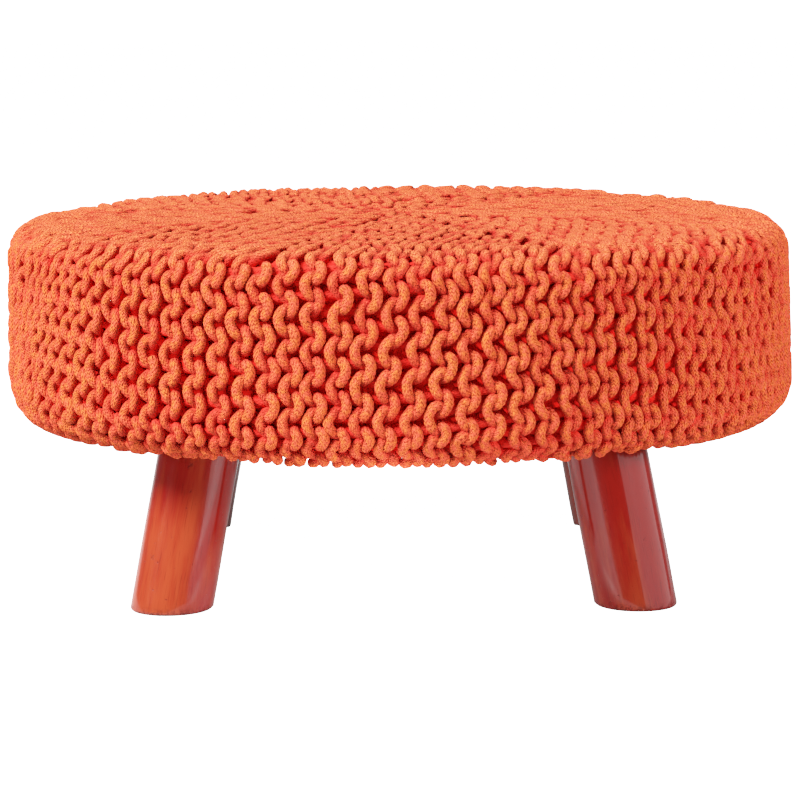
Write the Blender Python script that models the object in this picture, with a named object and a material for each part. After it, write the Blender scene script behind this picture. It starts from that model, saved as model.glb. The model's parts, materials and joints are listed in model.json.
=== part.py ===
"""A round knitted pouf on four splayed wooden legs, in metres, +Z up.

The seat is a filled drum in a cover of thick cotton cord, knitted in garter ridges that run out from
the middle of the top, over the rim, down the side and under the lower edge. A round board closes
the underside, and each leg is a plain turned dowel that leans outwards from the board to the floor.
The origin is on the floor under the middle of the seat, and the front faces -Y.
"""

import math

import bmesh
import bpy
from mathutils import Matrix, Vector

# Seat
SEAT_DIAMETER = 0.600
SEAT_TOP = 0.2745  # height of the top's flat part above the floor, before it settles
SEAT_BOTTOM = 0.1180  # height of the cover's lowest point above the floor
TOP_CROWN = 0.001  # rise of the top's middle over its flat part
RIM_DROOP = 0.0018  # the soft top falls this far at its rim
SIDE_DROOP = 0.0035  # and this much further at the left and right
FRONT_FALL = 0.0052  # the rim stands this much lower at the front and higher at the back
RIM_RADIUS = 0.022  # rounding between the top and the side
HEM_RADIUS = 0.033  # rounding between the side and the underside
SIDE_BULGE = 0.001  # swelling of the side at half height
SIDE_TAPER = 0.014  # share of the radius by which the seat widens from its top to its lower edge
SEAT_LEAN = 0.001  # the soft drum leans: its top stands this far to -X of its lower edge
LEAN_PIVOT_SHARE = 0.35  # share of the seat's height, from below, at which the lean is nil

# Garter ridges of the cover
RIDGES = 112
GROOVE_DEPTH = 0.0035  # depth between two ridges
GROOVE_START_RADIUS = 0.150  # the ridges rise out of the top from here
GROOVE_FULL_RADIUS = 0.250  # and have their full depth from here

# Underside
BOARD_DIAMETER = 0.500
BOARD_THICKNESS = 0.016
BOARD_INSET = 0.006  # the board's face sits this far above the cover's lowest point
FIT_GAP = 0.0003  # between pieces that touch

# Legs
LEG_DIAMETER = 0.059
LEG_SPLAY = math.radians(14.5)
FOOT_DISTANCE = 0.238  # from the seat's middle to the middle of a foot, on the floor
FOOT_ROUNDING = 0.0025
LEG_SIDES = 48
LEGS = {  # name: direction from the seat's middle in degrees, as fitted by hand
    "leg_front_left": 225.65,
    "leg_front_right": 315.65,
    "leg_rear_right": 42.70,
    "leg_rear_left": 136.60,
}

SEAT_RADIUS = SEAT_DIAMETER / 2
BOARD_RADIUS = BOARD_DIAMETER / 2
BOARD_FACE_HEIGHT = SEAT_BOTTOM + BOARD_INSET
BOARD_BACK_HEIGHT = BOARD_FACE_HEIGHT + BOARD_THICKNESS

# Steps of the mesh
ROUNDING_STEPS = 5
SIDE_STEPS = 3
TOP_RING_RADII = (0.09, 0.15, 0.20, 0.24)
UNDERSIDE_RING_RADIUS = 0.260


def clear_scene():
    """Remove every object of the open scene."""
    for obj in list(bpy.data.objects):
        bpy.data.objects.remove(obj)


def material(name, colour, roughness):
    """A plain non-metallic finish."""
    made = bpy.data.materials.new(name)
    made.use_nodes = True
    shader = made.node_tree.nodes["Principled BSDF"]
    shader.inputs["Base Color"].default_value = (*colour, 1.0)
    shader.inputs["Roughness"].default_value = roughness
    shader.inputs["Metallic"].default_value = 0.0
    return made


def add_object(name, bm, finish):
    """Turn a bmesh into a named object with its finish."""
    mesh = bpy.data.meshes.new(name)
    bm.to_mesh(mesh)
    bm.free()
    mesh.materials.append(finish)
    mesh.shade_smooth()
    mesh.set_sharp_from_angle(angle=math.radians(50))
    obj = bpy.data.objects.new(name, mesh)
    bpy.context.scene.collection.objects.link(obj)
    return obj


def smoothstep(low, high, value):
    """0 below low, 1 above high, and an even rise between them."""
    t = min(1.0, max(0.0, (value - low) / (high - low)))
    return t * t * (3 - 2 * t)


def seat_profile():
    """The cover's outline from the top's middle to the board's recess, as (radius, height) points."""
    rim_centre = (SEAT_RADIUS - RIM_RADIUS, SEAT_TOP - RIM_RADIUS)
    hem_centre = (SEAT_RADIUS - HEM_RADIUS, SEAT_BOTTOM + HEM_RADIUS)
    points = [(0.0, SEAT_TOP + TOP_CROWN)]
    for radius in TOP_RING_RADII:
        fall = TOP_CROWN * (radius / rim_centre[0]) ** 2
        points.append((radius, SEAT_TOP + TOP_CROWN - fall))
    for step in range(ROUNDING_STEPS + 1):
        turn = math.pi / 2 * step / ROUNDING_STEPS
        points.append((
            rim_centre[0] + RIM_RADIUS * math.sin(turn),
            rim_centre[1] + RIM_RADIUS * math.cos(turn),
        ))
    for step in range(1, SIDE_STEPS):
        share = step / SIDE_STEPS
        swell = SIDE_BULGE * math.sin(math.pi * share)
        height = rim_centre[1] + (hem_centre[1] - rim_centre[1]) * share
        points.append((SEAT_RADIUS + swell, height))
    for step in range(ROUNDING_STEPS + 1):
        turn = math.pi / 2 * step / ROUNDING_STEPS
        points.append((
            hem_centre[0] + HEM_RADIUS * math.cos(turn),
            hem_centre[1] - HEM_RADIUS * math.sin(turn),
        ))
    recess_radius = BOARD_RADIUS + FIT_GAP
    points.append((UNDERSIDE_RING_RADIUS, SEAT_BOTTOM))
    points.append((recess_radius, BOARD_FACE_HEIGHT))
    points.append((recess_radius, BOARD_BACK_HEIGHT + FIT_GAP))
    points.append((0.0, BOARD_BACK_HEIGHT + FIT_GAP))
    return points


def groove_share(radius, height):
    """How much of the groove's depth shows at a place of the cover, from 0 to 1."""
    if height > SEAT_TOP - RIM_RADIUS:
        return smoothstep(GROOVE_START_RADIUS, GROOVE_FULL_RADIUS, radius)
    return smoothstep(BOARD_RADIUS + 2 * FIT_GAP, SEAT_RADIUS - HEM_RADIUS, radius)


def build_cover(finish):
    """The filled seat: a turned drum whose skin is raised into one ridge for every two steps round."""
    bm = bmesh.new()
    chain = [bm.verts.new((radius, 0.0, height)) for radius, height in seat_profile()]
    edges = [bm.edges.new(pair) for pair in zip(chain, chain[1:])]
    bmesh.ops.spin(
        bm,
        geom=chain + edges,
        cent=(0, 0, 0),
        axis=(0, 0, 1),
        angle=2 * math.pi,
        steps=2 * RIDGES,
        use_merge=True,
    )
    bmesh.ops.remove_doubles(bm, verts=bm.verts, dist=0.0001)
    bmesh.ops.recalc_face_normals(bm, faces=bm.faces)
    bm.normal_update()
    step_angle = math.pi / RIDGES
    seat_height = SEAT_TOP - SEAT_BOTTOM
    moves = {}
    for vert in bm.verts:
        radius = vert.co.xy.length
        step = round(math.atan2(vert.co.y, vert.co.x) / step_angle)
        move = Vector((0.0, 0.0, 0.0))
        if step % 2:
            move -= vert.normal * GROOVE_DEPTH * groove_share(radius, vert.co.z)
        if radius > BOARD_RADIUS + 2 * FIT_GAP or vert.co.z > BOARD_BACK_HEIGHT + 2 * FIT_GAP:
            height_share = (vert.co.z - SEAT_BOTTOM) / seat_height
            fall = RIM_DROOP + SIDE_DROOP * (vert.co.x / SEAT_RADIUS) ** 2
            settle = FRONT_FALL * vert.co.y / SEAT_RADIUS - fall * (radius / SEAT_RADIUS) ** 4
            move.z += settle * max(0.0, height_share)
            move += Vector((vert.co.x, vert.co.y, 0.0)) * SIDE_TAPER * (0.5 - height_share)
            move += Vector((SEAT_LEAN, 0.0, 0.0)) * (LEAN_PIVOT_SHARE - height_share)
        moves[vert] = move
    for vert, move in moves.items():
        vert.co += move
    return add_object("knit_cover", bm, finish)


def build_board(finish):
    """The round board that closes the seat's underside and carries the legs."""
    bm = bmesh.new()
    bmesh.ops.create_cone(
        bm,
        cap_ends=True,
        segments=96,
        radius1=BOARD_RADIUS,
        radius2=BOARD_RADIUS,
        depth=BOARD_THICKNESS,
    )
    board = add_object("base_board", bm, finish)
    board.location.z = BOARD_FACE_HEIGHT + BOARD_THICKNESS / 2
    return board


def build_leg(name, azimuth, finish):
    """A round dowel that leans outwards, cut level under the board and on the floor."""
    outwards = Vector((math.cos(azimuth), math.sin(azimuth), 0.0))
    foot_centre = outwards * FOOT_DISTANCE
    upright = Matrix.Rotation(-LEG_SPLAY, 4, Vector((0, 0, 1)).cross(outwards))
    top_height = BOARD_FACE_HEIGHT - FIT_GAP
    bm = bmesh.new()
    bmesh.ops.create_cone(
        bm,
        cap_ends=True,
        segments=LEG_SIDES,
        radius1=LEG_DIAMETER / 2,
        radius2=LEG_DIAMETER / 2,
        depth=4 * top_height,
        matrix=Matrix.Translation(foot_centre) @ upright,
    )
    for height, direction in ((0.0, -1.0), (top_height, 1.0)):
        cut = bmesh.ops.bisect_plane(
            bm,
            geom=bm.verts[:] + bm.edges[:] + bm.faces[:],
            plane_co=(0, 0, height),
            plane_no=(0, 0, direction),
            clear_outer=True,
        )
        rim = [part for part in cut["geom_cut"] if isinstance(part, bmesh.types.BMEdge)]
        bmesh.ops.edgeloop_fill(bm, edges=rim)
        if height == 0.0:
            bmesh.ops.bevel(
                bm,
                geom=rim,
                offset=FOOT_ROUNDING,
                segments=3,
                profile=0.5,
                affect="EDGES",
            )
    bmesh.ops.recalc_face_normals(bm, faces=bm.faces)
    return add_object(name, bm, finish)


def main():
    clear_scene()
    cord = material("orange_cotton_cord", (0.84, 0.115, 0.035), 0.85)
    varnished_wood = material("red_varnished_wood", (0.36, 0.055, 0.025), 0.25)
    plain_board = material("plain_board", (0.50, 0.36, 0.22), 0.7)
    build_cover(cord)
    build_board(plain_board)
    for name, azimuth in LEGS.items():
        build_leg(name, math.radians(azimuth), varnished_wood)


main()
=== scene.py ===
"""The looks of a hand-knitted pouf: its braided cord, its stained legs and a plain studio.

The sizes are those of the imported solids. The seat's skin is made again as one smooth form, and the
knit is laid on that form stitch by stitch, as a maker works it: rows run from the middle of the top
to the lower lip, nine wedges of short rows make the round, and each ridge is a pair of courses whose
loops hold each other. The filled core, the legs and the board follow, and each gets its own finish.
"""

import json
import logging
import math
from collections.abc import Callable
from dataclasses import dataclass, field
from enum import Enum

import bmesh
import bpy
import numpy as np
from mathutils import Matrix, Vector

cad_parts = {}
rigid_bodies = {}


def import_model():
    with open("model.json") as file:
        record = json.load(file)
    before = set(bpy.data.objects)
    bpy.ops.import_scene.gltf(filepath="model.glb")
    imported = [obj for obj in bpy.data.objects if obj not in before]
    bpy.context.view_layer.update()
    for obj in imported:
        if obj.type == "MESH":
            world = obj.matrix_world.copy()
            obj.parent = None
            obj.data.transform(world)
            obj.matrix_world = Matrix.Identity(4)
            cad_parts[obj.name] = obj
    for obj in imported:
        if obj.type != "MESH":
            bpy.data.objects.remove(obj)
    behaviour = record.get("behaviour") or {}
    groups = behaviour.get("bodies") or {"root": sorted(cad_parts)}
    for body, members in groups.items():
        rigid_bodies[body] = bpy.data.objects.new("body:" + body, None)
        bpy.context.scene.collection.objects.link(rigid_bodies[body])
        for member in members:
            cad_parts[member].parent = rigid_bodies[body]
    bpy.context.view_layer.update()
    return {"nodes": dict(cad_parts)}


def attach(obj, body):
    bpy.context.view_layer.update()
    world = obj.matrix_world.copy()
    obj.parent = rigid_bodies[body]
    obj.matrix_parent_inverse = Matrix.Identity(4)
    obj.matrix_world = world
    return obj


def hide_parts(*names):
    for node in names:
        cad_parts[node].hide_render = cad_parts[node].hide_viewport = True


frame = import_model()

log = logging.getLogger("pouf")

BODY = "root"

Span = tuple[float, float]
Triple = tuple[float, float, float]
Socket = bpy.types.NodeSocket
Sockets = bpy.types.NodeOutputs
Values = dict[str | int, object]  # what a node's inputs get, by name or number

UNIT = (0.0, 1.0)


# ---------------------------------------------------------------- small helpers


def deselect_all() -> None:
    """Leave nothing selected, so that an operator acts on its own piece only."""
    for obj in bpy.context.scene.objects:
        obj.select_set(False)
    bpy.context.view_layer.objects.active = None


def smoothstep(low: float, high: float, value: np.ndarray) -> np.ndarray:
    """An even rise from 0 to 1.

    Args:
        low: where the rise starts.
        high: where it ends.
        value: where it is read.

    Returns:
        The share of the rise at each value.
    """
    t = np.clip((value - low) / (high - low), 0.0, 1.0)
    return t * t * (3.0 - 2.0 * t)


@dataclass(frozen=True)
class Wave:
    """A slow wave round the seat or a leg, which also turns with the distance along it."""

    reach: float
    turns: int
    pitch: float = 0.0
    shift: float = 0.0


def wave_sum(waves: tuple[Wave, ...], turn: np.ndarray, along: np.ndarray) -> np.ndarray:
    """Several waves added up.

    Args:
        waves: the waves.
        turn: direction round the piece in radians.
        along: distance along it.

    Returns:
        Their sum, in the unit of their reach.
    """
    return sum(
        wave.reach * np.sin(wave.turns * turn + wave.shift + wave.pitch * along) for wave in waves
    )


def settle_in_place(piece: bpy.types.Object) -> None:
    """Move a piece's place, turn and scale into its mesh.

    Args:
        piece: a finished mesh object.
    """
    deselect_all()
    piece.select_set(True)
    bpy.context.view_layer.objects.active = piece
    bpy.ops.object.transform_apply(location=True, rotation=True, scale=True)


def select_edges(piece: bpy.types.Object, wanted: Callable[[bmesh.types.BMEdge], bool]) -> None:
    """Open the active piece for editing and select some of its edges.

    Args:
        piece: the piece.
        wanted: tells whether an edge is selected.
    """
    bpy.ops.object.mode_set(mode="EDIT")
    bpy.ops.mesh.select_mode(type="EDGE")
    bpy.ops.mesh.select_all(action="DESELECT")
    drawn = bmesh.from_edit_mesh(piece.data)
    for edge in drawn.edges:
        edge.select_set(wanted(edge))
    bmesh.update_edit_mesh(piece.data)


def store(mesh: bpy.types.Mesh, name: str, values: np.ndarray) -> None:
    """Store a number or a vector for each point of a mesh."""
    kind, slot = ("FLOAT", "value") if values.ndim == 1 else ("FLOAT_VECTOR", "vector")
    mesh.attributes.new(name, kind, "POINT").data.foreach_set(slot, values.astype(np.float32).ravel())


# ---------------------------------------------------------------- the seat's form


@dataclass(frozen=True)
class SeatForm:
    """The seat's outer skin as a turned outline that then leans, widens and droops a little.

    A place on it is a direction round the seat, a distance along the outline from the middle of the
    top, and a depth under the skin.
    """

    radius: float
    top: float
    bottom: float
    rim_radius: float = 0.022
    hem_radius: float = 0.033
    lip_rise: float = 0.35  # rise of the underside for each metre inwards
    crown: float = 0.001
    taper: float = 0.014
    lean: float = 0.001
    lean_pivot_share: float = 0.35
    droop: float = 0.0018  # fall of the soft top at its rim
    side_droop: float = 0.0035  # its further fall at the left and right
    front_fall: float = 0.0052  # fall of the rim at the front, and its rise at the back

    @property
    def rim_start(self) -> float:
        """Distance along the outline at which the flat top ends."""
        return self.radius - self.rim_radius

    @property
    def side_start(self) -> float:
        """Distance along the outline at which the upright side starts."""
        return self.rim_start + math.pi / 2 * self.rim_radius

    @property
    def hem_start(self) -> float:
        """Distance along the outline at which the lower rounding starts."""
        return self.side_start + (self.top - self.rim_radius) - (self.bottom + self.hem_radius)

    @property
    def lip_start(self) -> float:
        """Distance along the outline at which the underside starts."""
        return self.hem_start + math.pi / 2 * self.hem_radius

    def outline(self, along: np.ndarray) -> tuple[np.ndarray, np.ndarray, np.ndarray, np.ndarray]:
        """The turned outline before it settles.

        Args:
            along: distances along the outline from the middle of the top.

        Returns:
            Radius, height, and the outward normal's radial and upward parts.
        """
        s = np.asarray(along, dtype=float)
        rim_turn = np.clip((s - self.rim_start) / self.rim_radius, 0.0, math.pi / 2)
        hem_turn = np.clip((s - self.hem_start) / self.hem_radius, 0.0, math.pi / 2)
        on_top = np.clip(s, 0.0, self.rim_start)
        on_side = np.clip(s - self.side_start, 0.0, self.hem_start - self.side_start)
        on_lip = np.clip(s - self.lip_start, 0.0, None)
        r = on_top + self.rim_radius * np.sin(rim_turn) - on_lip
        r -= self.hem_radius * (1 - np.cos(hem_turn))
        z = (
            self.top
            + self.crown * (1 - (on_top / self.rim_start) ** 2)
            - self.rim_radius * (1 - np.cos(rim_turn))
            - on_side
            - self.hem_radius * np.sin(hem_turn)
            + self.lip_rise * on_lip
        )
        turn = rim_turn + hem_turn
        return r, z, np.sin(turn), np.cos(turn)

    def place(self, angle: np.ndarray, along: np.ndarray, depth: np.ndarray) -> np.ndarray:
        """Points under the skin, with the seat's lean, taper and droop.

        Args:
            angle: direction round the seat in radians.
            along: distance along the outline.
            depth: distance under the skin.

        Returns:
            The points, with x, y and z in the last axis.
        """
        r, z, out, up = self.outline(along)
        r = r - depth * out
        z = z - depth * up
        x = r * np.cos(angle)
        y = r * np.sin(angle)
        share = (z - self.bottom) / (self.top - self.bottom)
        fall = self.droop + self.side_droop * (x / self.radius) ** 2
        settle = self.front_fall * y / self.radius - fall * (r / self.radius) ** 4
        z = z + settle * np.clip(share, 0.0, None)
        widen = 1.0 + self.taper * (0.5 - share)
        x = x * widen + self.lean * (self.lean_pivot_share - share)
        y = y * widen
        return np.stack([x, y, z], axis=-1)


# ---------------------------------------------------------------- the knit


class Course(Enum):
    """The two courses of a garter ridge, as seen from outside."""

    KNIT = "knit"
    PURL = "purl"


# A stitch's path, one row for each bend: across the ridge in ridge widths, along it in stitches, depth
# of the cord's middle in cord diameters, and the points laid from this bend to the next.
KNIT_PATH = (
    # across, along, depth, points
    (-0.52, -0.14, 1.30, 1),
    (-0.28, -0.14, 1.38, 1),
    (0.00, -0.23, 1.28, 2),
    (0.16, -0.30, 0.76, 2),
    (0.29, -0.20, 0.53, 2),
    (0.34, -0.02, 0.46, 2),
    (0.27, 0.15, 0.52, 2),
    (0.14, 0.27, 0.72, 2),
    (0.00, 0.34, 1.18, 1),
    (-0.26, 0.34, 1.45, 1),
    (-0.54, 0.34, 1.45, 1),
    (-0.80, 0.48, 2.05, 1),
    (-0.78, 0.66, 2.05, 1),
)
PURL_PATH = (
    (0.52, 0.27, 1.75, 1),
    (0.28, 0.15, 1.42, 1),
    (0.06, 0.12, 0.98, 2),
    (-0.15, 0.18, 0.70, 2),
    (-0.29, 0.33, 0.52, 2),
    (-0.32, 0.48, 0.46, 2),
    (-0.25, 0.65, 0.56, 2),
    (-0.13, 0.79, 0.76, 2),
    (0.00, 0.90, 1.05, 1),
    (0.24, 0.92, 1.50, 1),
    (0.54, 0.86, 1.85, 1),
    (0.82, 1.04, 2.20, 1),
)
PROUD = 0.8  # depth down to which a bend counts as the front of its loop


@dataclass(frozen=True)
class RidgePlan:
    """Where the ridges run: wedges of short rows that share the round evenly.

    A wedge's first ridge starts at the middle, and each next one starts a stitch further out, beside
    the seam with the next wedge.
    """

    wedge_ridges: tuple[int, ...] = (12, 13, 12, 13, 12, 13, 12, 13, 12)
    first_seam: float = math.radians(-90 - 16.3)
    stitch: float = 0.0248
    stitches_to_lip: int = 19
    start_share: float = 0.60  # a ridge starts this share of a stitch past a whole one
    opening: Span = (-1.0, 0.6)  # it widens over these stitches round its start
    gathered: float = 0.0095  # the first ridges are drawn this much closer to the middle
    gathered_to: float = 0.25  # and less and less so up to this distance

    def weights(self, wedge: int, along: np.ndarray) -> np.ndarray:
        """How wide each ridge of a wedge is at each distance, from 0 to 1.

        Args:
            wedge: the wedge's number.
            along: distances along the outline.

        Returns:
            One row for each ridge of the wedge.
        """
        places = np.arange(self.wedge_ridges[wedge])[:, None]
        start = (places + self.start_share) * self.stitch
        low, high = (start + end * self.stitch for end in self.opening)
        rows = smoothstep(low, high, along)
        rows[0] = 1.0
        return rows

    def lay_out(self, wedge: int, along: np.ndarray) -> tuple[np.ndarray, np.ndarray]:
        """The directions of a wedge's ridges.

        Args:
            wedge: the wedge's number.
            along: distances along the outline.

        Returns:
            Each ridge's direction in radians, and the angle that one full ridge takes up.
        """
        weights = self.weights(wedge, along)
        total = weights.sum(axis=0)
        wedge_angle = 2 * math.pi / len(self.wedge_ridges)
        middles = np.cumsum(weights, axis=0) - weights / 2
        unit = wedge_angle / total
        return self.first_seam + wedge * wedge_angle + middles * unit, unit


@dataclass(frozen=True)
class Pucker:
    """A place on top where the knit gapes: a small hole with loops that stand up behind it."""

    x: float
    y: float
    hole: float
    rise: float
    behind: float = 0.012  # the middle of the raised loops lies this far behind the hole
    spread: float = 0.014
    edge: float = 1.5  # the edge reaches this far, in holes
    edge_fall: float = 0.6  # and sinks by this share of the hole

    def shape(self, points: np.ndarray) -> None:
        """Open the hole, sink its edge and lift what lies behind it.

        Args:
            points: the points of the top, which are moved.
        """
        aside = points[:, :2] - (self.x, self.y)
        away = np.maximum(np.linalg.norm(aside, axis=1), 1e-6)
        points[:, :2] += aside * (self.hole * np.exp(-((away / self.hole) ** 2)) / away)[:, None]
        past = np.hypot(points[:, 0] - self.x, points[:, 1] - self.y - self.behind)
        points[:, 2] += self.rise * np.exp(-((past / self.spread) ** 2))
        points[:, 2] -= self.edge_fall * self.hole * np.exp(-((away / (self.edge * self.hole)) ** 2))


@dataclass(frozen=True)
class Laid:
    """A cord laid on the seat: its middle line, and what the tube round it needs at each point."""

    line: np.ndarray
    radii: np.ndarray
    outwards: np.ndarray
    sunk: np.ndarray


# A side face's corners: rings on from its own ring, and sides on from its own side.
CORNERS = ((0, 0), (0, 1), (1, 1), (1, 0))


@dataclass(frozen=True)
class Tube:
    """A cord's skin: rings of points, how far each lies under the seat's skin, and the rings' places."""

    points: np.ndarray
    sunk: np.ndarray
    travelled: np.ndarray

    @property
    def grid(self) -> tuple[np.ndarray, np.ndarray]:
        """The ring and the side of each side face."""
        rings, sides = self.sunk.shape
        return np.meshgrid(np.arange(rings - 1), np.arange(sides), indexing="ij")

    def quads(self) -> np.ndarray:
        """The side faces.

        Returns:
            Rows of four point numbers.
        """
        (ring, side), sides = self.grid, self.sunk.shape[1]
        corners = [(ring + on) * sides + (side + over) % sides for on, over in CORNERS]
        return np.stack(corners, axis=-1).reshape(-1, 4)

    def caps(self) -> np.ndarray:
        """The two end faces.

        Returns:
            A row of point numbers for each.
        """
        rings, sides = self.sunk.shape
        first = np.arange(sides)
        return np.stack([first[::-1], first + (rings - 1) * sides])

    def uvs(self) -> np.ndarray:
        """The skin's own coordinates.

        Returns:
            Distance along the cord and share round it, for each corner of the side faces.
        """
        (ring, side), sides = self.grid, self.sunk.shape[1]
        corners = [np.stack([self.travelled[ring + on], (side + over) / sides], axis=-1)
                   for on, over in CORNERS]
        return np.stack(corners, axis=2).reshape(-1, 2)


@dataclass
class KnitCover:
    """The knitted cover: a cord tube for each course, joined in one mesh for each wedge."""

    form: SeatForm
    plan: RidgePlan = field(default_factory=RidgePlan)
    cord_diameter: float = 0.0074
    cord_sides: int = 8
    narrowest_cord: float = 0.86  # the cord's share of its thickness where ridges are squeezed
    roomy_ridge: float = 0.015  # width from which a ridge leaves its cord as thick as it is
    shallowest: float = 0.42  # least depth of the cord's middle, in cord diameters
    nearest_middle: float = 0.004  # no cord comes nearer to the middle of the top
    outline_length: float = 0.56  # the ridges are laid out along it
    outline_steps: int = 281
    jitter: Triple = (0.035, 0.030, 0.14)  # of a loop, across, along and in depth
    bend_jitter: float = 0.3  # a single bend's share of it
    held_jitter: float = 0.3  # the share of it where the cord is held behind other loops
    lean: tuple[Wave, ...] = (Wave(0.008, 2),)
    lean_from: Span = (0.26, 0.46)  # it sets in between these distances
    sway: tuple[Wave, ...] = (Wave(0.0030, 5, 21.0, 1.3), Wave(0.0022, 11, -33.0, -0.6))
    sway_from: Span = (0.05, 0.25)
    slip: tuple[Wave, ...] = (Wave(-0.0075, 4), Wave(0.0020, 9, 17.0, 0.4))
    slip_from: Span = (0.02, 0.15)
    swell: tuple[Wave, ...] = (Wave(0.0012, 6, 19.0, 2.1), Wave(0.0009, 13, -41.0, 0.7))
    swell_shade: float = 0.25  # share of the swell that counts as shelter
    pressed: float = 0.42  # sitting has brought the loops on top this share nearer to the skin
    pressed_to: Span = (0.225, 0.272)  # less and less so between these distances
    pressed_depth: float = 0.03  # and not at all this far under the top
    puckers: tuple[Pucker, ...] = (
        Pucker(-0.0157, 0.0751, 0.0050, 0.0042),
        Pucker(0.0099, 0.0961, 0.0045, 0.0038),
        Pucker(0.0378, 0.1295, 0.0030, 0.0022),
        Pucker(-0.0129, -0.1373, 0.0035, 0.0018),
        Pucker(-0.0226, -0.1742, 0.0035, 0.0018),
        Pucker(-0.0341, -0.2096, 0.0035, 0.0018),
        Pucker(0.0245, -0.0550, 0.0030, 0.0014),
        Pucker(0.0107, -0.1200, 0.0030, 0.0012),
    )
    seed: int = 7

    def warp(self, angle: np.ndarray, along: np.ndarray) -> tuple[np.ndarray, np.ndarray, np.ndarray]:
        """The slow unevenness of hand knitting.

        Args:
            angle: direction round the seat.
            along: distance along the outline.

        Returns:
            A shift round the seat in radians, a shift along the outline and a shift in depth, in metres.
        """
        front = angle + math.pi / 2
        turn = (
            wave_sum(self.lean, front, along) * smoothstep(*self.lean_from, along)
            + wave_sum(self.sway, front, along) * smoothstep(*self.sway_from, along)
        ) / self.form.radius
        slip = wave_sum(self.slip, front, along) * smoothstep(*self.slip_from, along)
        return turn, slip, wave_sum(self.swell, front, along)

    def bends(
        self, course: Course, wales: int, rng: np.random.Generator
    ) -> tuple[np.ndarray, np.ndarray]:
        """A whole course's bends before they are laid on the seat.

        Args:
            course: knit or purl.
            wales: the number of stitches in the course.
            rng: the source of each loop's small unevenness.

        Returns:
            Rows of across, along and depth, and the points to lay after each bend.
        """
        path = np.array(KNIT_PATH if course is Course.KNIT else PURL_PATH)
        bend_count = len(path)
        rows = np.tile(path[:, :3], (wales, 1))
        rows[:, 1] += np.repeat(np.arange(wales), bend_count)
        in_front = path[:, 2] < PROUD
        loop_share = np.tile(np.where(in_front, 1.0, self.held_jitter), wales)
        for axis, reach in enumerate(self.jitter):
            shift = np.repeat(rng.normal(0.0, reach, wales).clip(-2 * reach, 2 * reach), bend_count)
            rows[:, axis] += shift * loop_share
            rows[:, axis] += rng.normal(0.0, reach * self.bend_jitter, len(rows))
        return rows, np.tile(path[:, 3].astype(int), wales)

    @staticmethod
    def smooth_path(rows: np.ndarray, counts: np.ndarray) -> np.ndarray:
        """A smooth curve through the bends.

        Args:
            rows: the bends.
            counts: the points to lay from each bend to the next.

        Returns:
            The laid points.
        """
        steps = counts[:-1]
        index = np.repeat(np.arange(len(steps)), steps)
        firsts = np.concatenate([[0], np.cumsum(steps)[:-1]])
        t = (np.arange(len(index)) - firsts[index]) / steps[index]
        padded = np.vstack([2 * rows[0] - rows[1], rows, 2 * rows[-1] - rows[-2]])
        before, here, after, beyond = (padded[index + step] for step in range(4))
        t = t[:, None]
        curve = 0.5 * (
            2 * here
            + (after - before) * t
            + (2 * before - 5 * here + 4 * after - beyond) * t**2
            + (3 * here - before - 3 * after + beyond) * t**3
        )
        return np.vstack([curve, rows[-1]])

    def lay_course(self, wedge: int, place: int, course: Course, rng: np.random.Generator) -> Laid:
        """One course of one ridge as a line of points on the seat.

        Args:
            wedge: the wedge's number.
            place: the ridge's place in its wedge.
            course: knit or purl.
            rng: the source of unevenness.

        Returns:
            The laid cord.
        """
        wales = self.plan.stitches_to_lip - place
        laid = self.smooth_path(*self.bends(course, wales, rng))
        along = (place + 1.0 + laid[:, 1]) * self.plan.stitch
        if place == 0:
            along -= self.plan.gathered * (1.0 - smoothstep(0.0, self.plan.gathered_to, along))
        stations = np.linspace(0.0, self.outline_length, self.outline_steps)
        angles, unit = self.plan.lay_out(wedge, stations)
        angle = np.interp(along, stations, angles[place])
        width = np.interp(along, stations, unit)
        ridge_width = width * self.form.outline(along)[0]
        turn, slip, swell = self.warp(angle, along)
        along = along + slip
        cord_scale = np.clip(ridge_width / self.roomy_ridge, self.narrowest_cord, 1.0)
        sunk = laid[:, 2] * self.cord_diameter
        depth = np.maximum(sunk + swell, self.shallowest * self.cord_diameter)
        direction = angle + turn + laid[:, 0] * width
        along = np.maximum(along, self.nearest_middle)
        _, _, out, up = self.form.outline(along)
        return Laid(
            line=self.form.place(direction, along, depth),
            radii=cord_scale * self.cord_diameter / 2,
            outwards=np.stack([out * np.cos(direction), out * np.sin(direction), up], axis=-1),
            sunk=sunk + self.swell_shade * swell,
        )

    def tube(self, laid: Laid, start: float) -> Tube:
        """A round tube along a laid cord.

        Args:
            laid: the cord.
            start: how much of the cord lies before it.

        Returns:
            The tube.
        """
        line = laid.line
        step = np.diff(line, axis=0)
        tangent = np.vstack([step[:1], step[1:] + step[:-1], step[-1:]])
        tangent /= np.linalg.norm(tangent, axis=1)[:, None]
        side = np.empty_like(line)
        current = np.cross(tangent[0], (0.0, 0.0, 1.0))
        if np.linalg.norm(current) < 0.1:  # the cord starts nearly upright
            current = np.cross(tangent[0], (1.0, 0.0, 0.0))
        current /= np.linalg.norm(current)
        for i, direction in enumerate(tangent):
            current = current - direction * np.dot(current, direction)
            current = current / math.sqrt(np.dot(current, current))
            side[i] = current
        other = np.cross(tangent, side)
        turn = np.arange(self.cord_sides) / self.cord_sides * 2 * math.pi
        ring = (
            side[:, None, :] * np.cos(turn)[None, :, None]
            + other[:, None, :] * np.sin(turn)[None, :, None]
        )
        towards_skin = (ring * laid.outwards[:, None, :]).sum(axis=-1) * laid.radii[:, None]
        return Tube(
            points=line[:, None, :] + ring * laid.radii[:, None, None],
            sunk=(laid.sunk[:, None] - towards_skin) / self.cord_diameter,
            travelled=start + np.concatenate([[0.0], np.cumsum(np.linalg.norm(step, axis=1))]),
        )

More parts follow.
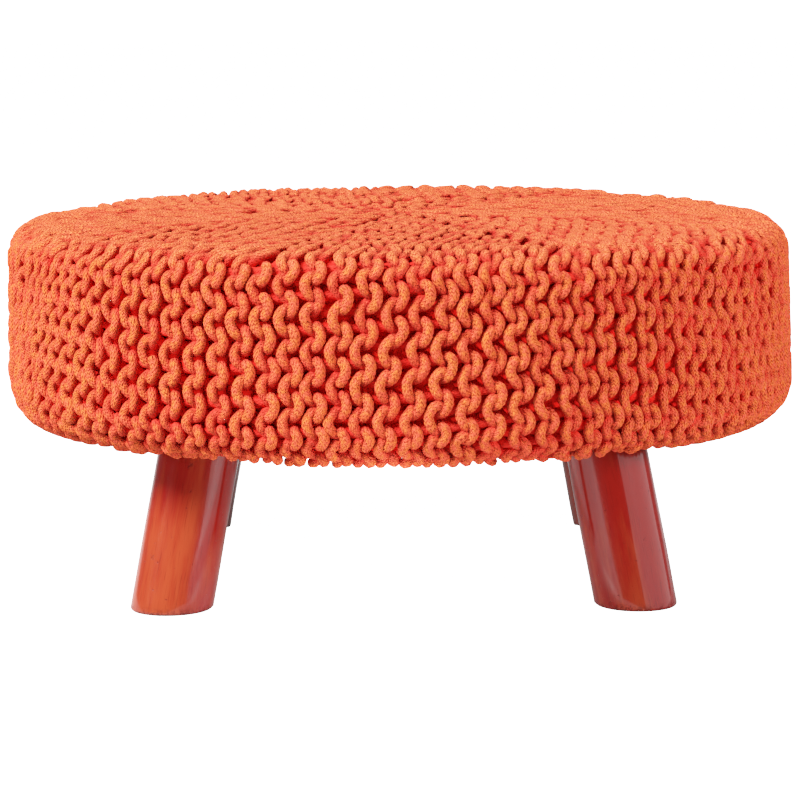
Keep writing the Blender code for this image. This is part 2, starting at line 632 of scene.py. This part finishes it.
    def press_top(self, points: np.ndarray) -> np.ndarray:
        """Flatten the loops on top, as sitting does, and pucker the knit where it gapes.

        Args:
            points: a wedge's points.

        Returns:
            The points with the top's ones moved.
        """
        reach = np.hypot(points[:, 0], points[:, 1])
        on_top = (points[:, 2] > self.form.top - self.pressed_depth) & (reach < self.pressed_to[1])
        moved = points[on_top]
        angle = np.arctan2(moved[:, 1], moved[:, 0])
        skin = self.form.place(angle, reach[on_top], np.zeros(len(moved)))[:, 2]
        share = self.pressed * (1.0 - smoothstep(*self.pressed_to, reach[on_top]))
        moved[:, 2] += (skin - moved[:, 2]) * share
        for pucker in self.puckers:
            pucker.shape(moved)
        points[on_top] = moved
        return points

    def build_wedge(self, wedge: int, rng: np.random.Generator) -> bpy.types.Object:
        """All the cord of one wedge as one mesh.

        Args:
            wedge: the wedge's number.
            rng: the source of unevenness.

        Returns:
            The wedge's object.
        """
        tubes = []
        for place in range(self.plan.wedge_ridges[wedge]):
            for course in Course:
                laid = self.lay_course(wedge, place, course, rng)
                tubes.append(self.tube(laid, start=rng.uniform(0.0, 1.0)))
        firsts = np.cumsum([0] + [tube.sunk.size for tube in tubes])
        points = np.concatenate([tube.points.reshape(-1, 3) for tube in tubes])
        quads = np.concatenate([tube.quads() + first for tube, first in zip(tubes, firsts)])
        caps = np.concatenate([tube.caps() + first for tube, first in zip(tubes, firsts)])
        uvs = np.concatenate([tube.uvs() for tube in tubes] + [np.zeros((caps.size, 2))])
        name = f"knit_wedge_{wedge + 1}"
        mesh = bpy.data.meshes.new(name)
        mesh.from_pydata(self.press_top(points), [], quads.tolist() + caps.tolist())
        layer = mesh.uv_layers.new(name="cord")
        layer.data.foreach_set("uv", uvs.astype(np.float32).ravel())
        # How far each point sinks under the skin, which the cord's material turns into painted shade.
        store(mesh, "shelter", np.concatenate([tube.sunk.ravel() for tube in tubes]))
        mesh.shade_smooth()
        piece = bpy.data.objects.new(name, mesh)
        bpy.context.scene.collection.objects.link(piece)
        return piece

    def build(self, finish: bpy.types.Material) -> None:
        """Knit and dress every wedge.

        Args:
            finish: the cord's material.
        """
        rng = np.random.default_rng(self.seed)
        for wedge in range(len(self.plan.wedge_ridges)):
            piece = self.build_wedge(wedge, rng)
            piece.data.materials.append(finish)
            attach(piece, BODY)
            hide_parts("knit_cover")
            triangles = sum(len(p.vertices) - 2 for p in piece.data.polygons)
            log.info("%s: %d triangles", piece.name, triangles)


@dataclass
class SeatCore:
    """The filled body under the knit, seen only between the cords as a dark ground of painted shade."""

    form: SeatForm
    depth: float = 0.0135
    lip: float = 0.010  # it goes on this far past the start of the underside
    rings: int = 48
    sides: int = 120

    def build(self, finish: bpy.types.Material) -> None:
        """Turn the core's outline and dress it.

        Args:
            finish: the ground's material.
        """
        stations = np.linspace(0.0, self.form.lip_start + self.lip, self.rings)
        turns = np.arange(self.sides) / self.sides * 2 * math.pi
        bm = bmesh.new()
        pole = bm.verts.new(self.form.place(np.array(0.0), np.array(0.0), np.array(self.depth)))
        rings = []
        for station in stations[1:]:
            points = self.form.place(turns, np.full(self.sides, station), np.array(self.depth))
            rings.append([bm.verts.new(point) for point in points])
        for i in range(self.sides):
            bm.faces.new((pole, rings[0][i], rings[0][(i + 1) % self.sides]))
        for upper, lower in zip(rings, rings[1:]):
            for i in range(self.sides):
                j = (i + 1) % self.sides
                bm.faces.new((upper[i], lower[i], lower[j], upper[j]))
        bm.faces.new(list(reversed(rings[-1])))
        bmesh.ops.recalc_face_normals(bm, faces=bm.faces)
        mesh = bpy.data.meshes.new("seat_core")
        bm.to_mesh(mesh)
        bm.free()
        mesh.shade_smooth()
        piece = bpy.data.objects.new("seat_core", mesh)
        bpy.context.scene.collection.objects.link(piece)
        piece.data.materials.append(finish)
        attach(piece, BODY)
        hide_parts("knit_cover")
        log.info("%s built", piece.name)


# ---------------------------------------------------------------- legs


class Corner(Enum):
    """The four legs: the direction in which each one splays, and how deep it took the stain."""

    FRONT_LEFT = (225.65, 0.50)
    FRONT_RIGHT = (315.65, 0.98)
    REAR_RIGHT = (42.70, 0.80)
    REAR_LEFT = (136.60, 0.45)

    def __init__(self, azimuth: float, stain: float) -> None:
        """Name the two values: the direction in degrees and the stain's depth."""
        self.azimuth = azimuth
        self.stain = stain

    @property
    def node(self) -> str:
        """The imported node's name."""
        return f"leg_{self.name.lower()}"


@dataclass
class Leg:
    """A round splayed leg, sawn level at the floor and under the board."""

    corner: Corner
    diameter: float = 0.059
    splay: float = math.radians(14.5)
    foot_distance: float = 0.238
    top: float = 0.1237
    foot_rounding: float = 0.0025
    sides: int = 96
    cuts_along: int = 14
    hand_above: float = 0.012  # the hand's wave has its full size from this height
    lit_flank_side: Triple = (-0.80, -0.60, 0.0)  # painted light: the flank turned towards the key lamp, drawn paler
    lit_flank_edge: Span = (-0.35, 0.75)
    lit_flank_share: float = 0.50
    shaded_top: float = 0.50  # painted shadow: how much darker the wood is drawn at the top, under the seat
    shaded_top_from: Span = (0.045, 0.095)  # it sets in between these lengths from the foot

    @property
    def foot(self) -> Vector:
        """The middle of the foot on the floor."""
        turn = math.radians(self.corner.azimuth)
        return self.foot_distance * Vector((math.cos(turn), math.sin(turn), 0.0))

    @property
    def axis(self) -> Vector:
        """The leg's direction from the foot to the board."""
        inwards = -math.sin(self.splay) * self.foot.normalized()
        return Vector((inwards.x, inwards.y, math.cos(self.splay)))

    def build(self, finish: bpy.types.Material) -> None:
        """Turn, lean, saw and dress the leg.

        Args:
            finish: the stained wood.
        """
        piece = self.turn_blank()
        self.saw()
        self.round_foot(piece)
        self.mark_grain(piece)
        piece.name = f"stained_{self.corner.node}"
        piece.data.name = piece.name
        piece.data.materials.append(finish)
        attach(piece, BODY)
        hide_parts(self.corner.node)
        log.info("%s: %d faces", piece.name, len(piece.data.polygons))

    def turn_blank(self) -> bpy.types.Object:
        """Turn a leaning cylinder, longer than the leg at both ends.

        Returns:
            The blank, which is the active object.
        """
        length = self.top / math.cos(self.splay) + 2 * self.diameter
        middle = self.foot + self.axis * (self.top / math.cos(self.splay) / 2)
        deselect_all()
        bpy.ops.mesh.primitive_cylinder_add(
            vertices=self.sides, radius=self.diameter / 2, depth=length, location=middle,
            rotation=self.axis.to_track_quat("Z", "Y").to_euler(),
        )
        piece = bpy.context.object
        settle_in_place(piece)
        select_edges(piece, lambda edge: edge.calc_length() > length / 2)
        bpy.ops.mesh.subdivide(number_cuts=self.cuts_along)
        bpy.ops.object.mode_set(mode="OBJECT")
        return piece

    def saw(self) -> None:
        """Cut the active blank level at the floor and at the board, and close both cuts."""
        bpy.ops.object.mode_set(mode="EDIT")
        for height, below in ((0.0, True), (self.top, False)):
            bpy.ops.mesh.select_all(action="SELECT")
            bpy.ops.mesh.bisect(
                plane_co=(0.0, 0.0, height), plane_no=(0.0, 0.0, 1.0), use_fill=True,
                clear_inner=below, clear_outer=not below,
            )
        bpy.ops.object.mode_set(mode="OBJECT")

    def round_foot(self, piece: bpy.types.Object) -> None:
        """Round the foot's edge, then smooth the leg but for its sawn ends.

        Args:
            piece: the sawn leg.
        """
        select_edges(piece, lambda edge: all(abs(vert.co.z) < 1e-5 for vert in edge.verts))
        bpy.ops.mesh.bevel(offset=self.foot_rounding, segments=4, profile=0.5)
        bpy.ops.object.mode_set(mode="OBJECT")
        bpy.ops.object.shade_smooth_by_angle(angle=math.radians(40))

    def mark_grain(self, piece: bpy.types.Object) -> None:
        """Store each point's place along and across the leg, and add the hand's slight wave.

        Args:
            piece: the leg.
        """
        foot, axis = np.array(self.foot), np.array(self.axis)
        across = np.cross(axis, (0.0, 0.0, 1.0))
        across /= np.linalg.norm(across)
        beside = np.cross(axis, across)
        mesh = piece.data
        points = np.empty(len(mesh.vertices) * 3)
        mesh.vertices.foreach_get("co", points)
        points = points.reshape(-1, 3)
        offset = points - foot
        local = np.stack([offset @ across, offset @ beside, offset @ axis], axis=-1)
        # Each leg is cut from another place of the wood.
        shifted = local + 0.01 * self.corner.azimuth * np.array([1.0, -1.0, 3.0])
        store(mesh, "grain", shifted)
        radial = local[:, :1] * across + local[:, 1:2] * beside
        radial /= np.maximum(np.linalg.norm(radial, axis=1), 1e-6)[:, None]
        # Painted light on the flank turned to the key lamp and painted shadow at the top under the seat,
        # stored with the leg's stain.
        lit_flank = smoothstep(*self.lit_flank_edge, radial @ np.array(self.lit_flank_side))
        depth = self.corner.stain + self.shaded_top * smoothstep(*self.shaded_top_from, local[:, 2])
        store(mesh, "stain", depth - self.lit_flank_share * lit_flank)
        turn = np.arctan2(local[:, 1], local[:, 0])
        hand = (Wave(0.00016, 2, 38.0, self.corner.azimuth), Wave(0.000096, 3, -71.0))
        wave = wave_sum(hand, turn, local[:, 2]) * smoothstep(0.0, self.hand_above, points[:, 2])
        points += radial * wave[:, None] * np.array([1.0, 1.0, 0.0])
        mesh.vertices.foreach_set("co", points.ravel())
        mesh.update()


# ---------------------------------------------------------------- finishes


class Bench:
    """Adds nodes to one tree and joins them."""

    def __init__(self, tree: bpy.types.NodeTree) -> None:
        """Work on a node tree."""
        self.tree = tree

    def add(self, kind: str, values: Values | None = None, **settings: object) -> Sockets:
        """A new node.

        Args:
            kind: the node's type.
            values: what its inputs get, as in feed.
            settings: its own settings, by name.

        Returns:
            Its outputs.
        """
        node = self.tree.nodes.new(kind)
        for key, value in settings.items():
            setattr(node, key, value)
        self.feed(node, values or {})
        return node.outputs

    def feed(self, node: bpy.types.Node, values: Values) -> None:
        """Give a node's inputs links, numbers, vectors or colours.

        Args:
            node: the node.
            values: another node's output or a plain value for each input, by its name or number.
        """
        for key, value in values.items():
            socket = node.inputs[key]
            if isinstance(value, Socket):
                self.tree.links.new(value, socket)
            elif isinstance(value, tuple) and socket.type == "RGBA":
                socket.default_value = (*value, 1.0)
            else:
                socket.default_value = value

    def place(self) -> Socket:
        """Where a point lies on its piece, in metres."""
        return self.add("ShaderNodeTexCoord")["Object"]

    def stored(self, name: str, kind: str = "Fac") -> Socket:
        """A value that the mesh stores for each point."""
        return self.add("ShaderNodeAttribute", attribute_name=name)[kind]

    def split(self, vector: Socket) -> tuple[Socket, ...]:
        """A vector's three parts."""
        return tuple(self.add("ShaderNodeSeparateXYZ", {"Vector": vector}))

    def use(self, group: bpy.types.NodeTree, values: Values) -> tuple[Socket, ...]:
        """The results of a shared effect, in order."""
        return tuple(self.add("ShaderNodeGroup", values, node_tree=group))

    def maths(self, kind: str, *values: object) -> Socket:
        """One Math node's result."""
        return self.add("ShaderNodeMath", dict(enumerate(values)), operation=kind)["Value"]

    def times(self, first: object, second: object) -> Socket:
        """Two values multiplied."""
        return self.maths("MULTIPLY", first, second)

    def span(self, value: object, edge: Span, result: Span = UNIT) -> Socket:
        """A value's place between two bounds, held at both, as a number from one to another."""
        given = zip(("Value", "From Min", "From Max", "To Min", "To Max"), (value, *edge, *result))
        return self.add("ShaderNodeMapRange", dict(given))["Result"]

    def mix(self, share: object, first: object, second: object) -> Socket:
        """Two colours mixed, on the inputs that follow those for numbers and vectors."""
        return self.add("ShaderNodeMix", {"Factor": share, 6: first, 7: second}, data_type="RGBA")[2]

    def noise(self, where: Socket, scale: object, detail: float = 2.0, roughness: float = 0.5) -> Socket:
        """Smooth noise from 0 to 1, with a number of patches to the metre."""
        values = {"Vector": where, "Scale": scale, "Detail": detail, "Roughness": roughness}
        return self.add("ShaderNodeTexNoise", values)["Fac"]

    def stretch(self, where: Socket, scale: Triple, turn: Triple = (0.0, 0.0, 0.0)) -> Socket:
        """A pattern's coordinates, turned by radians and stretched along each axis."""
        values = {"Vector": where, "Rotation": turn, "Scale": scale}
        return self.add("ShaderNodeMapping", values)["Vector"]

    def bump(self, height: Socket, distance: float) -> Socket:
        """A normal from a height, told as a share of a distance in metres."""
        return self.add("ShaderNodeBump", {"Height": height, "Distance": distance})["Normal"]


def new_material(name: str) -> tuple[bpy.types.Material, Bench, bpy.types.Node]:
    """An empty Principled material.

    Args:
        name: the material's name.

    Returns:
        The material, a bench on its tree and its shader node.
    """
    made = bpy.data.materials.new(name)
    made.use_nodes = True
    return made, Bench(made.node_tree), made.node_tree.nodes["Principled BSDF"]


def new_group(name: str, dial: str, results: tuple[str, ...]) -> tuple[Bench, Socket, Socket]:
    """An empty node group that takes a place and a number, and gives several numbers.

    Args:
        name: the group's name.
        dial: the name of the number that it takes.
        results: the names of those that it gives.

    Returns:
        A bench on its tree, the place and the number.
    """
    group = bpy.data.node_groups.new(name, "ShaderNodeTree")
    group.interface.new_socket(name="Vector", in_out="INPUT", socket_type="NodeSocketVector")
    group.interface.new_socket(name=dial, in_out="INPUT", socket_type="NodeSocketFloat")
    for title in results:
        group.interface.new_socket(name=title, in_out="OUTPUT", socket_type="NodeSocketFloat")
    bench = Bench(group)
    given = bench.add("NodeGroupInput")
    return bench, given["Vector"], given[dial]


@dataclass(frozen=True)
class CottonFibre:
    """The fuzz, flecks and uneven dye of cotton, shared by the cord and the cloth under it.

    The first three numbers are patches to the metre.
    """

    fuzz: float = 1500.0
    flecks: float = 620.0
    dye: float = 240.0
    fleck_edge: Span = (0.40, 0.60)

    def group(self) -> bpy.types.NodeTree:
        """Make the node group once.

        Returns:
            A group that gives fuzz, flecks and dye as values from 0 to 1.
        """
        known = bpy.data.node_groups.get("cotton_fibre")
        if known:
            return known
        bench, where, fineness = new_group("cotton_fibre", "Fineness", ("Fuzz", "Flecks", "Dye"))
        flecks = bench.noise(where, bench.times(fineness, self.flecks), 1.0)
        bench.add("NodeGroupOutput", {
            "Fuzz": bench.noise(where, bench.times(fineness, self.fuzz), 3.0, 0.65),
            "Flecks": bench.span(flecks, self.fleck_edge),
            "Dye": bench.noise(where, bench.times(fineness, self.dye), 3.0),
        })
        return bench.tree


@dataclass(frozen=True)
class CordFinish:
    """Braided cotton cord, dyed orange-red, with painted light on top and painted shade where it dips.

    How far a place is sunk under the seat's skin is told in cord diameters.
    """

    amber: Triple = (0.82, 0.096, 0.022)
    coral: Triple = (0.86, 0.066, 0.032)
    dye_edge: Span = (0.40, 0.60)
    # Painted light: the top is drawn lighter and more orange, where the light falls on it.
    lit_top_tint: Triple = (0.84, 0.118, 0.044)
    lit_top_share: float = 0.55
    lit_top_above: Span = (0.252, 0.266)  # the painted lighter top sets in between these heights
    # Painted shade: the cord is drawn deeper red and darker on its flanks and further down, as it sinks
    # under the skin.
    flank: Triple = (0.70, 0.027, 0.017)
    flank_sunk: Span = (0.10, 0.60)
    deep: Triple = (0.58, 0.007, 0.004)
    deep_sunk: Span = (0.55, 1.10)
    valley_shade: Triple = (0.42, 0.012, 0.007)  # painted shade between the loops on top
    valley_shade_share: float = 0.85
    valley_shade_sunk: Span = (0.20, 0.75)
    fleck: Triple = (0.22, 0.016, 0.003)  # in the braid's dips
    fleck_share: float = 0.9
    fleck_height: Span = (0.42, 0.10)
    fleck_sunk: Span = (0.95, 0.45)
    fuzz_shade: float = 0.5
    plait_length: float = 0.0027
    strands: float = 9.0
    strand_slope: float = 1.25
    strand_arch: float = 3.2  # how steeply a strand falls off towards its edges
    relief: float = 0.0026
    fuzz_relief: float = 0.6
    relief_sunk: Span = (0.45, 1.0)
    relief_left: float = 0.15  # share of the relief where the cord is sunk

    def plait(self, bench: Bench) -> Socket:
        """The braid's strands: columns of slanting stitches along the cord.

        Args:
            bench: the cord's node tree.

        Returns:
            The strands' height from 0 in the dips to 1 on the crests.
        """
        along, around, _ = bench.split(bench.add("ShaderNodeUVMap", uv_map="cord")["UV"])
        turns = bench.maths("FRACT", bench.times(around, self.strands))
        fold = bench.maths("ABSOLUTE", bench.maths("SUBTRACT", turns, 0.5))
        run = bench.maths("DIVIDE", along, self.plait_length)
        chevron = bench.maths("ADD", run, bench.times(fold, self.strand_slope))
        wave = bench.maths("COSINE", bench.times(chevron, 2 * math.pi))
        strand = bench.span(wave, (-1.0, 1.0))
        arch = bench.times(bench.maths("POWER", fold, 2.0), self.strand_arch)
        return bench.times(strand, bench.maths("SUBTRACT", 1.0, arch))

    def build(self) -> bpy.types.Material:
        """Make the cord's material.

        Returns:
            The material.
        """
        made, bench, shader = new_material("braided_cord")
        where, height = bench.place(), self.plait(bench)
        fuzz, flecks, dye = bench.use(CottonFibre().group(), {"Vector": where, "Fineness": 1.0})
        shelter = bench.stored("shelter")
        uneven = bench.times(bench.maths("SUBTRACT", fuzz, 0.5), self.fuzz_shade)
        sunk = bench.maths("ADD", shelter, uneven)
        on_top = bench.span(bench.split(where)[2], self.lit_top_above)
        dips = bench.times(bench.span(height, self.fleck_height), flecks)
        dips = bench.times(dips, bench.span(shelter, self.fleck_sunk))
        colour = bench.mix(bench.span(dye, self.dye_edge), self.amber, self.coral)
        # Painted light on the top, then painted shade on the flanks, deep down and between the loops on
        # top, then the braid's flecks.
        valley_shade_mask = bench.span(sunk, self.valley_shade_sunk, (0.0, self.valley_shade_share))
        for share, tint in (
            (bench.times(on_top, self.lit_top_share), self.lit_top_tint),
            (bench.span(sunk, self.flank_sunk), self.flank),
            (bench.span(sunk, self.deep_sunk), self.deep),
            (bench.times(on_top, valley_shade_mask), self.valley_shade),
            (bench.times(dips, self.fleck_share), self.fleck),
        ):
            colour = bench.mix(share, colour, tint)
        relief = bench.maths("ADD", height, bench.times(fuzz, self.fuzz_relief))
        relief = bench.times(relief, bench.span(shelter, self.relief_sunk, (1.0, self.relief_left)))
        bench.feed(shader, {
            "Base Color": colour,
            "Normal": bench.bump(relief, self.relief),
            "Roughness": 0.85,
            "Sheen Weight": 0.04,
            "Sheen Roughness": 0.45,
            "Sheen Tint": (1.0, 0.30, 0.16),
            "Specular IOR Level": 0.06,
        })
        return made


@dataclass(frozen=True)
class CoreFinish:
    """The dark red cloth of the filled body, seen only between the cords; its dark colour is painted
    shade.
    """

    # Painted shade: a dark ground for the back of the knit and the filling in shade, with lighter
    # patches at random.
    cloth: Triple = (0.50, 0.005, 0.003)
    lighter_shade_patch: Triple = (0.62, 0.008, 0.005)
    threads: float = 210.0
    relief: float = 0.0002

    def build(self) -> bpy.types.Material:
        """Make the cloth's material.

        Returns:
            The material.
        """
        made, bench, shader = new_material("core_shaded_cloth")
        where = bench.place()
        fuzz, _, dye = bench.use(CottonFibre().group(), {"Vector": where, "Fineness": 0.8})
        weave = bench.add(
            "ShaderNodeTexWave", {"Vector": where, "Scale": self.threads, "Distortion": 0.6},
            wave_type="BANDS", bands_direction="DIAGONAL",
        )["Fac"]
        bench.feed(shader, {
            "Base Color": bench.mix(dye, self.cloth, self.lighter_shade_patch),
            "Normal": bench.bump(bench.maths("ADD", weave, fuzz), self.relief),
            "Roughness": 0.95,
            "Specular IOR Level": 0.1,
        })
        return made


@dataclass(frozen=True)
class WoodGrain:
    """Lengthwise figure, pores and small marks of wood, shared by the legs and the board.

    A pattern's three numbers are how many of its patches fill a metre across and along the grain.
    """

    bends: Triple = (9.0, 9.0, 3.0)
    streaks: Triple = (95.0, 95.0, 8.0)
    streak_turn: Triple = (0.10, 0.0, 0.0)
    streak_share: float = 0.6
    clouds: Triple = (40.0, 40.0, 15.0)
    cloud_turn: Triple = (0.35, 0.0, 0.0)
    figure_edge: Span = (0.40, 0.60)
    pores: Triple = (1500.0, 1500.0, 60.0)
    pore_edge: Span = (0.60, 0.74)
    marks: float = 170.0
    mark_edge: Span = (0.66, 0.72)

    def group(self) -> bpy.types.NodeTree:
        """Make the node group once.

        Returns:
            A group that gives the figure, the pores and the marks as values from 0 to 1.
        """
        known = bpy.data.node_groups.get("wood_grain")
        if known:
            return known
        bench, where, waver = new_group("wood_grain", "Waver", ("Figure", "Pores", "Marks"))
        bend = bench.times(bench.noise(bench.stretch(where, self.bends), 1.0), waver)
        streaks = bench.stretch(where, self.streaks, self.streak_turn)
        streaks = bench.add("ShaderNodeVectorMath", {0: streaks, 1: bend}, operation="ADD")["Vector"]
        streaks = bench.noise(streaks, 1.0, 6.0, 0.65)
        clouds = bench.noise(bench.stretch(where, self.clouds, self.cloud_turn), 1.0)
        cloud_share = bench.times(clouds, 1.0 - self.streak_share)
        figure = bench.maths("ADD", bench.times(streaks, self.streak_share), cloud_share)
        pores = bench.noise(bench.stretch(where, self.pores), 1.0, 1.0)
        marks = bench.noise(where, self.marks, 3.0, 0.7)
        bench.add("NodeGroupOutput", {
            "Figure": bench.span(figure, self.figure_edge),
            "Pores": bench.span(pores, self.pore_edge),
            "Marks": bench.span(marks, self.mark_edge),
        })
        return bench.tree


@dataclass(frozen=True)
class StainedWood:
    """Turned wood under a red stain and a glossy lacquer, with painted light and shade in the stain's
    depth.
    """

    light: Triple = (0.145, 0.0160, 0.0052)
    dark: Triple = (0.100, 0.0024, 0.0013)
    stain_and_shade: Span = (0.20, 1.10)  # the stain's depth with its painted light and shade, from light to dark
    figure_depth: float = 0.75
    pore: Triple = (0.034, 0.0012, 0.0008)
    pore_share: float = 0.45
    mark_share: float = 0.7
    scuff_share: float = 0.75
    scuffs: float = 330.0
    scuff_edge: Span = (0.46, 0.56)
    scuffed_below: Span = (0.0060, 0.0010)
    roughness: Span = (0.30, 0.65)  # where the lacquer is sound, and where it is spoilt
    coat: Span = (1.0, 0.25)  # and the same for its weight
    figure_relief: float = 0.10
    relief: float = 0.0003

    def build(self) -> bpy.types.Material:
        """Make the legs' material.

        Returns:
            The material.
        """
        made, bench, shader = new_material("red_stained_wood_painted_shade")
        where = bench.stored("grain", "Vector")
        figure, pores, marks = bench.use(WoodGrain().group(), {"Vector": where, "Waver": 3.0})
        near_floor = bench.span(bench.split(bench.place())[2], self.scuffed_below)
        scuffs = bench.span(bench.noise(where, self.scuffs, 3.0, 0.7), self.scuff_edge)
        scuffs = bench.times(bench.times(near_floor, scuffs), self.scuff_share)
        spoilt = bench.maths("MAXIMUM", bench.times(marks, self.mark_share), scuffs)
        # The stored stain carries painted light on the lit flank and painted shadow at the top.
        stain_and_shade = bench.maths("ADD", bench.times(figure, self.figure_depth), bench.stored("stain"))
        colour = bench.mix(bench.span(stain_and_shade, self.stain_and_shade), self.light, self.dark)
        colour = bench.mix(bench.times(pores, self.pore_share), colour, self.pore)
        dents = bench.maths("SUBTRACT", bench.times(figure, self.figure_relief), spoilt)
        bench.feed(shader, {
            "Base Color": bench.mix(spoilt, colour, self.pore),
            "Normal": bench.bump(dents, self.relief),
            "Roughness": bench.span(spoilt, UNIT, self.roughness),
            "Coat Weight": bench.span(spoilt, UNIT, self.coat),
            "Coat Roughness": 0.07,
            "Coat IOR": 1.33,
            "Specular IOR Level": 0.05,
        })
        return made


@dataclass(frozen=True)
class BoardWood:
    """The bare underside board."""

    light: Triple = (0.56, 0.40, 0.25)
    dark: Triple = (0.38, 0.24, 0.13)
    pore: Triple = (0.17, 0.10, 0.05)
    pore_share: float = 0.5
    fineness: Triple = (0.55, 0.55, 0.55)  # against the legs' grain
    grain_turn: Triple = (0.0, math.pi / 2, math.radians(12))
    figure_relief: float = 0.5
    relief: float = 0.0002
    roughness: Span = (0.62, 0.75)

    def build(self) -> bpy.types.Material:
        """Make the board's material.

        Returns:
            The material.
        """
        made, bench, shader = new_material("bare_board")
        where = bench.stretch(bench.place(), self.fineness, self.grain_turn)
        figure, pores, _ = bench.use(WoodGrain().group(), {"Vector": where, "Waver": 6.0})
        colour = bench.mix(figure, self.light, self.dark)
        rise = bench.maths("SUBTRACT", bench.times(figure, self.figure_relief), pores)
        bench.feed(shader, {
            "Base Color": bench.mix(bench.times(pores, self.pore_share), colour, self.pore),
            "Normal": bench.bump(rise, self.relief),
            "Roughness": bench.span(figure, UNIT, self.roughness),
        })
        return made


@dataclass(frozen=True)
class FloorFinish:
    """A plain pale studio floor that glows a little to the camera, so that shadows stay light."""

    pale: Triple = (0.23, 0.23, 0.23)
    hazy: Triple = (0.25, 0.25, 0.25)
    glow: Span = (0.20, 4.6)  # towards the pouf, and towards the camera

    def build(self) -> bpy.types.Material:
        """Make the floor's material.

        Returns:
            The material.
        """
        made, bench, shader = new_material("pale_floor")
        seen = bench.add("ShaderNodeLightPath")["Is Camera Ray"]
        bench.feed(shader, {
            "Base Color": bench.mix(bench.noise(bench.place(), 3.0), self.pale, self.hazy),
            "Emission Color": bench.span(seen, UNIT, self.glow),
            "Emission Strength": 1.0,
            "Roughness": 0.9,
            "Specular IOR Level": 0.1,
        })
        return made


# ---------------------------------------------------------------- studio


@dataclass(frozen=True)
class Softbox:
    """One soft lamp that the camera doesn't see."""

    name: str
    place: Triple
    aim: Triple
    size: Span
    power: float
    mirrored: bool = True  # whether glossy things show it

    def build(self) -> None:
        """Set up the lamp."""
        data = bpy.data.lights.new(self.name, "AREA")
        data.shape = "RECTANGLE"
        data.size, data.size_y = self.size
        data.energy = self.power
        lamp = bpy.data.objects.new(self.name, data)
        lamp.visible_camera = False
        lamp.visible_glossy = self.mirrored
        lamp.location = self.place
        towards = Vector(self.aim) - Vector(self.place)
        lamp.rotation_euler = towards.to_track_quat("-Z", "Y").to_euler()
        bpy.context.scene.collection.objects.link(lamp)


@dataclass
class Studio:
    """A pale floor, soft lights and the camera at the photograph's angle."""

    camera_distance: float = 2.193
    camera_height: float = 0.428
    camera_pitch: float = 0.1361
    camera_roll: float = 0.0069
    lens: float = 128.1
    sensor: float = 36.0
    floor_width: float = 80.0
    floor_drop: float = 0.0005
    world_glow: Span = (0.16, 6.0)  # towards the pouf, and towards the camera
    white_level: float = 4.5
    curve_stops: tuple[float, ...] = (0.03, 0.07, 0.13, 0.21, 0.32, 0.46, 0.66)
    softboxes: tuple[Softbox, ...] = (
        Softbox("key", (-3.0, -1.7, 3.2), (0.0, 0.0, 0.15), (1.4, 1.4), 1580.0),
        Softbox("overhead", (0.1, 0.2, 2.6), (0.0, 0.0, 0.2), (1.8, 1.8), 25.0),
        Softbox("right_card", (0.92, -0.12, 0.25), (0.24, 0.58, 0.25), (1.55, 0.50), 6.2),
        Softbox("right_fill", (1.80, -1.54, 0.85), (0.0, 0.0, 0.2), (0.6, 0.6), 160.0, mirrored=False),
        Softbox("left_fill", (-2.3, -1.1, 0.45), (0.0, 0.0, 0.1), (0.8, 0.8), 105.0, mirrored=False),
        Softbox("under_left", (0.02, -0.30, 0.045), (-0.17, -0.17, 0.05), (0.12, 0.07), 0.80,
                mirrored=False),
        Softbox("under_right", (-0.02, -0.30, 0.045), (0.17, -0.17, 0.05), (0.12, 0.07), 0.50,
                mirrored=False),
    )

    def build(self) -> None:
        """Make the camera, the floor, the ambient light and the lamps."""
        scene = bpy.context.scene
        data = bpy.data.cameras.new("camera")
        data.lens = self.lens
        data.sensor_width = self.sensor
        camera = bpy.data.objects.new("camera", data)
        upright = Matrix.Rotation(math.pi / 2 - self.camera_pitch, 4, "X")
        roll = Matrix.Rotation(-self.camera_roll, 4, "Z")
        place = Matrix.Translation((0.0, -self.camera_distance, self.camera_height))
        camera.matrix_world = place @ upright @ roll
        scene.collection.objects.link(camera)
        scene.camera = camera

        deselect_all()
        bpy.ops.mesh.primitive_plane_add(size=self.floor_width, location=(0.0, 0.0, -self.floor_drop))
        floor = bpy.context.object
        floor.name = "floor"
        settle_in_place(floor)
        floor.data.materials.append(FloorFinish().build())

        world = bpy.data.worlds.new("studio")
        world.use_nodes = True
        bench = Bench(world.node_tree)
        seen = bench.add("ShaderNodeLightPath")["Is Camera Ray"]
        level = bench.span(seen, UNIT, self.world_glow)
        bench.feed(world.node_tree.nodes["Background"], {"Color": (1.0, 1.0, 1.0), "Strength": level})
        scene.world = world
        for softbox in self.softboxes:
            softbox.build()
        self.expose(scene.view_settings)
        log.info("studio: %d lamps", len(self.softboxes))

    def expose(self, view: bpy.types.ColorManagedViewSettings) -> None:
        """Give the picture a photograph's response: bright parts level off instead of clipping.

        Args:
            view: the scene's colour settings.
        """
        view.view_transform = "Standard"
        view.use_curve_mapping = True
        mapping = view.curve_mapping
        mapping.white_level = (self.white_level,) * 3
        full = 1.0 - math.exp(-self.white_level)
        for share in self.curve_stops:
            mapping.curves[3].points.new(share, (1.0 - math.exp(-self.white_level * share)) / full)
        mapping.update()


def main() -> None:
    """Build and dress the pouf, then the studio."""
    form = SeatForm(radius=0.300, top=0.2745, bottom=0.118)
    KnitCover(form).build(CordFinish().build())
    SeatCore(form).build(CoreFinish().build())
    stain = StainedWood().build()
    for corner in Corner:
        Leg(corner).build(stain)
    frame["nodes"]["base_board"].material_slots[0].material = BoardWood().build()
    Studio().build()


if __name__ == "__main__":
    logging.basicConfig(level=logging.INFO, format="%(message)s")
    main()
